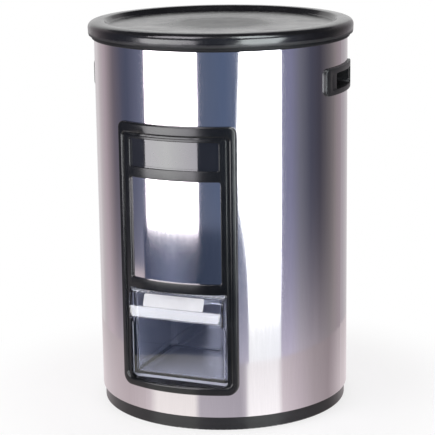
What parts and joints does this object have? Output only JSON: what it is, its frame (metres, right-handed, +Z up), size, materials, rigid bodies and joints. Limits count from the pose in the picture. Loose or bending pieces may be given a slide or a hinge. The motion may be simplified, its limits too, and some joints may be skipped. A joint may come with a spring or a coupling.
{
  "type": "rice dispenser",
  "caption": "Round polished-steel rice bin with a black lift-off lid, side cup handles and a framed front; a hopper inside feeds a clear pull-out drawer at the bottom.",
  "frame": {"origin": "centre of the base ring's underside, on the surface that the bin stands on", "axes": "+Z up along the bin's axis, -Y towards the front with the drawer, +X towards the right handle seen from the front"},
  "size_m": [0.314, 0.314, 0.4615],
  "materials": {
    "polished_steel": "polished stainless sheet",
    "moulded_black": "satin moulded polypropylene",
    "housing_grey": "satin moulded polypropylene",
    "frame_black": "semi-gloss moulded ABS",
    "gloss_black": "high-gloss moulded ABS",
    "lid_black": "satin moulded polypropylene",
    "clear_plastic": "clear moulded styrene acrylonitrile",
    "hopper_plastic": "plain moulded polypropylene",
    "seal_rubber": "matt silicone",
    "zinc_screw": "bright zinc plate"
  },
  "bodies": {
    "bin": {"base_tray": "moulded_black", "base_screws": "zinc_screw", "shell": "polished_steel", "top_collar": "moulded_black", "hopper_stand": "hopper_plastic", "hopper": "hopper_plastic", "drawer_housing": "housing_grey", "housing_screws": "zinc_screw", "bezel": "frame_black", "bezel_screws": "zinc_screw", "gloss_insert": "gloss_black", "front_plate": "polished_steel", "left_handle_cup": "moulded_black", "right_handle_cup": "moulded_black", "left_handle_retainer": "moulded_black", "right_handle_retainer": "moulded_black", "handle_screws": "zinc_screw"},
    "lid": {"lid": "lid_black", "lid_seal": "seal_rubber"},
    "drawer": {"drawer": "clear_plastic", "shutter_plate": "hopper_plastic", "shutter_screws": "zinc_screw"}
  },
  "joints": [
    {"name": "lid_lift", "type": "slide", "parent": "bin", "child": "lid", "axis": [0, 0, 1], "range_m": [0, 0.08]},
    {"name": "drawer_slide", "type": "slide", "parent": "bin", "child": "drawer", "axis": [0, -1, 0], "range_m": [0, 0.1]}
  ]
}
